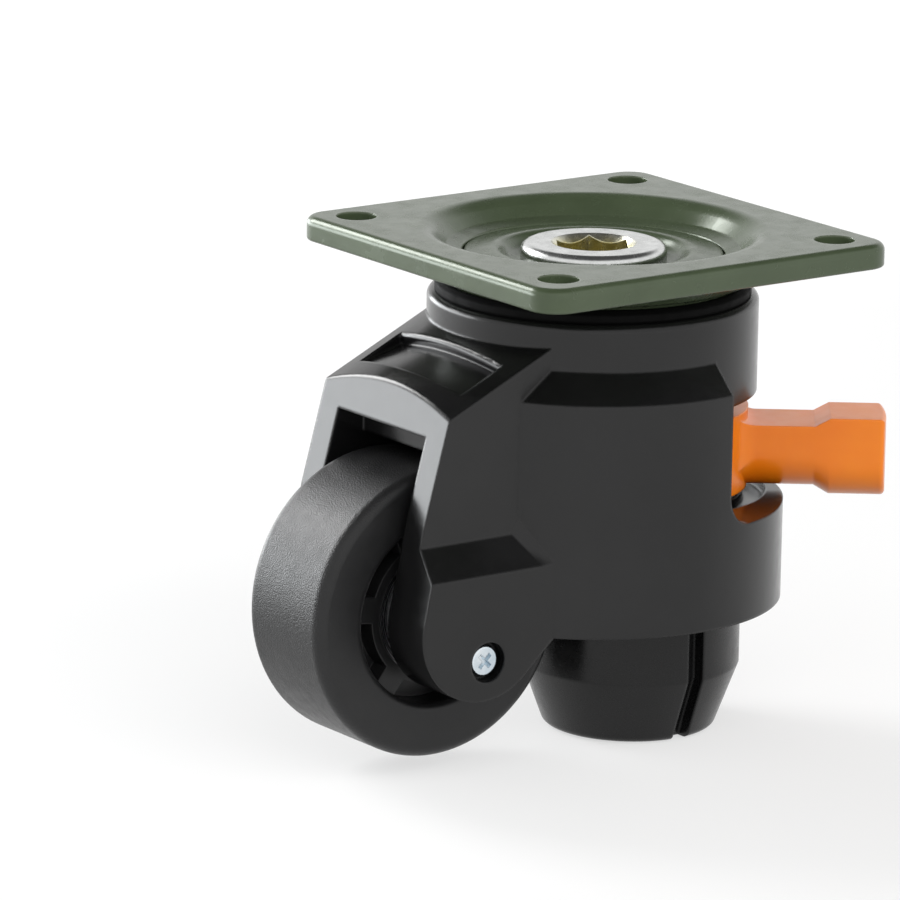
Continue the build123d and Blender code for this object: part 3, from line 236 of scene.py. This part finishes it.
def orange_plastic():
    """Smooth orange moulding that lets a little light in."""
    plastic = Finish("orange_plastic")
    grain = (plastic.noise(900, 2), 4 * MICRON)
    waves = (plastic.noise(60, 2), 60 * MICRON)
    plastic.shade(
        Base_Color=plastic.clouds(80, 3, (0.86, 0.200, 0.003), (0.91, 0.235, 0.006)),
        Roughness=plastic.drift(300, 3, 0.28, 0.36),
        Subsurface_Weight=0.06,
        Subsurface_Scale=2 * MM,
        Coat_Weight=0.1,
        Normal=plastic.bumps(0.5 * MM, grain, waves),
    )
    return plastic.material


def bright_zinc(name, duller, brighter, rough, socket_tints=None):
    """Zinc plated steel, with other tints down in its socket where they are given."""
    zinc = Finish(name)
    colour = zinc.clouds(220, 4, duller, brighter, contrast=(0.35, 0.65))
    if socket_tints:
        in_socket = zinc.spread(zinc.radius(ACROSS_Z), 1, 0, 0.24, 0.30)
        colour = zinc.blend(in_socket, colour, zinc.clouds(420, 4, *socket_tints))
    zinc.shade(
        Base_Color=colour,
        Roughness=zinc.drift(700, 4, *rough),
        Metallic=1.0,
        Normal=zinc.bumps(0.2 * MM, (zinc.noise(900, 3), 12 * MICRON)),
    )
    return zinc.material


def turned_steel(name, tint, plane):
    """Ground or turned steel with fine rings round its axis; plane is across it."""
    steel = Finish(name)
    darker = tuple(0.75 * channel for channel in tint)
    rings = steel.rings(plane, 160, 2)
    steel.shade(
        Base_Color=steel.clouds(300, 4, darker, tint),
        Roughness=steel.spread(rings, 0.18, 0.34),
        Metallic=1.0,
        Normal=steel.bumps(0.2 * MM, (rings, 4 * MICRON)),
    )
    return steel.material


OLIVE = olive_paint()
HOUSING_BLACK = moulded_black("housing_black", (0.0044, 0.0044, 0.0046), (0.17, 0.24), 2 * MICRON)
TREAD = tread_rubber()
FOOT_BLACK = moulded_black("foot_black", (0.0040, 0.0040, 0.0042), (0.22, 0.32), 4 * MICRON, 0.4)
# The dust seal's black rubber is darker and less glossy than the other blacks: painted shade for the
# gap under the plate.
SEAL_BLACK_AND_SHADE = moulded_black("seal_black_and_shade", (0.0025, 0.0025, 0.0025), (0.55, 0.70), 10 * MICRON, 0.08)
ORANGE = orange_plastic()
YELLOW_TINTS = ((0.68, 0.60, 0.24), (0.84, 0.80, 0.52))
KINGPIN_ZINC = bright_zinc(
    "kingpin_zinc", (0.60, 0.61, 0.60), (0.74, 0.75, 0.74), (0.18, 0.30), YELLOW_TINTS
)
SCREW_ZINC = bright_zinc("screw_zinc", (0.58, 0.67, 0.74), (0.80, 0.85, 0.88), (0.08, 0.16))
PLAIN_ZINC = bright_zinc("plain_zinc", (0.55, 0.56, 0.56), (0.70, 0.71, 0.70), (0.22, 0.36))
RACE_STEEL = turned_steel("race_steel", (0.60, 0.60, 0.62), ACROSS_Z)
BEARING_STEEL = turned_steel("bearing_steel", (0.60, 0.60, 0.62), ACROSS_Y)
GEAR_STEEL = turned_steel("gear_steel", (0.42, 0.42, 0.43), ACROSS_Z)
BALL_STEEL = bright_zinc("ball_steel", (0.70, 0.71, 0.73), (0.78, 0.79, 0.80), (0.05, 0.10))

FINISHES = {
    "mounting_plate": OLIVE,
    "race_washer": OLIVE,
    "housing": HOUSING_BLACK,
    "wheel": TREAD,
    "foot_shoe": FOOT_BLACK,
    "dust_seal": SEAL_BLACK_AND_SHADE,
    "ratchet_lever": ORANGE,
    "kingpin_bolt": KINGPIN_ZINC,
    "near_keeper_screw": SCREW_ZINC,
    "far_keeper_screw": SCREW_ZINC,
    "ratchet_gear": GEAR_STEEL,
}


def finish_for(name):
    """The material of a CAD node, by name."""
    if name in FINISHES:
        return FINISHES[name]
    if name.endswith("balls"):
        return BALL_STEEL
    if "bearing" in name:
        return BEARING_STEEL
    if "race" in name:
        return RACE_STEEL
    return PLAIN_ZINC


for name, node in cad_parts.items():
    node.data.materials.clear()
    node.data.materials.append(finish_for(name))

# ---------------------------------------------------------------- stage and lights

scene = bpy.context.scene
scene.view_settings.view_transform = "Standard"

# Level directions to the right of and away from the camera.
VIEW_RIGHT = Vector((0.8, -0.6, 0))
VIEW_IN = Vector((0.6, 0.8, 0))
CENTRE = Vector((0, 0, -0.045))

# The dark ceiling is a round patch of the world, 15 degrees from straight up.
CEILING_WAY = 0.26 * VIEW_IN + 0.966 * UP
CEILING_LEVEL = 0.08
CEILING_EDGE = (math.cos(math.radians(54)), math.cos(math.radians(38)))

FLOOR_GAP = 0.2 * MM
FLOOR_REACH = 3.0
FLOOR_PALENESS = (0.39, 0.41)
FLOOR_GLOW = 0.57
# Between these distances from the object the floor's glow rises to white.
FLOOR_FADE = (0.35, 1.2)


def studio_world():
    """A white room with a dark ceiling, and white all round to the camera."""
    world = bpy.data.worlds.new("studio")
    world.use_nodes = True
    graph = Graph(world.node_tree)
    cosine = graph.compute("VectorMath", "DOT_PRODUCT", graph.coordinates["Generated"], CEILING_WAY)
    ceiling = graph.spread(cosine, 0, 1, *CEILING_EDGE, curve="SMOOTHSTEP")
    light = graph.blend(ceiling, grey(1.0), grey(CEILING_LEVEL))
    seen = graph.blend(graph.rays("Is Camera Ray"), light, grey(1.0))
    graph.fill(world.node_tree.nodes["Background"], Color=seen)
    return world


def pale_floor():
    """Pale paper that shows white to the camera and keeps the object's shadow."""
    paper = Finish("floor_paper")
    distance = paper.compute("VectorMath", "LENGTH", paper.coordinates["Object"])
    glow = paper.blend(paper.spread(distance, 0, 1, *FLOOR_FADE), grey(FLOOR_GLOW), grey(1.0))
    shown = paper.rays("Is Camera Ray", "Is Glossy Ray", "Is Transmission Ray")
    paper.shade(
        Base_Color=paper.clouds(3, 2, *map(grey, FLOOR_PALENESS)),
        Roughness=paper.drift(40, 2, 0.6, 0.7),
        Specular_IOR_Level=0.0,
        Emission_Color=paper.blend(shown, grey(0.0), glow),
        Emission_Strength=1.0,
    )
    return paper.material


def lay_floor():
    """A square floor just under the object."""
    edge = FLOOR_REACH
    level = cad_low.z - FLOOR_GAP
    corners = [(-edge, -edge, level), (edge, -edge, level), (edge, edge, level), (-edge, edge, level)]
    mesh = bpy.data.meshes.new("floor")
    mesh.from_pydata(corners, [], [(0, 1, 2, 3)])
    mesh.materials.append(pale_floor())
    floor = bpy.data.objects.new("floor", mesh)
    scene.collection.objects.link(floor)


def around(right, inward, up):
    """A point given in steps right of, away from and above the object's centre."""
    return CENTRE + VIEW_RIGHT * right + VIEW_IN * inward + UP * up


def softbox(name, place, size, power, tint, mirrored=True):
    """A rectangular lamp aimed at the object, seen in its gloss or not."""
    data = bpy.data.lights.new(name, "AREA")
    data.shape = "RECTANGLE"
    data.size, data.size_y = size
    data.energy = power
    data.color = tint
    lamp = bpy.data.objects.new(name, data)
    lamp.location = place
    lamp.rotation_euler = (CENTRE - place).to_track_quat("-Z", "Y").to_euler()
    lamp.visible_glossy = mirrored
    scene.collection.objects.link(lamp)


scene.world = studio_world()
lay_floor()
softbox("left_box", around(-0.75, 0.40, 0.05), (1.0, 0.36), 8.2, (0.95, 0.98, 1.0))
softbox("rim_box", around(-0.72, 0.45, 0.48), (0.36, 0.36), 5.2, (1.0, 1.0, 1.0))
softbox("front_box", around(0.45, -0.85, 0.65), (1.2, 0.90), 6.8, (1.0, 0.99, 0.97), mirrored=False)

# ---------------------------------------------------------------- camera

CAMERA_PLACE = Vector((-0.6909, -0.9149, 0.2463))
LENS_AXIS = Vector((0.582, 0.776, -0.2427)).normalized()
ROLL = math.radians(0.91)
CLIP_START = 0.05
CLIP_END = 20
# In millimetres on the sensor. The object is off the middle of the lens in the photograph,
# so the camera is turned from the lens axis by this much to the left and up.
SENSOR_WIDTH = 36
FOCAL_LENGTH = 276
AIM_LEFT = 4.692
AIM_UP = 0.336


def photo_camera():
    """The camera that sees the object as the photograph does."""
    level_right = LENS_AXIS.cross(UP).normalized()
    level_up = level_right.cross(LENS_AXIS)
    right = level_right * math.cos(ROLL) + level_up * math.sin(ROLL)
    upward = right.cross(LENS_AXIS)
    aim = LENS_AXIS * FOCAL_LENGTH - right * AIM_LEFT + upward * AIM_UP
    data = bpy.data.cameras.new("camera")
    data.sensor_width = SENSOR_WIDTH
    data.lens = FOCAL_LENGTH
    data.clip_start = CLIP_START
    data.clip_end = CLIP_END
    camera = bpy.data.objects.new("camera", data)
    camera.location = CAMERA_PLACE
    turn = aim.to_track_quat("-Z", "Y") @ Quaternion((0, 0, 1), ROLL)
    camera.rotation_euler = turn.to_euler()
    scene.collection.objects.link(camera)
    return camera


scene.camera = photo_camera()
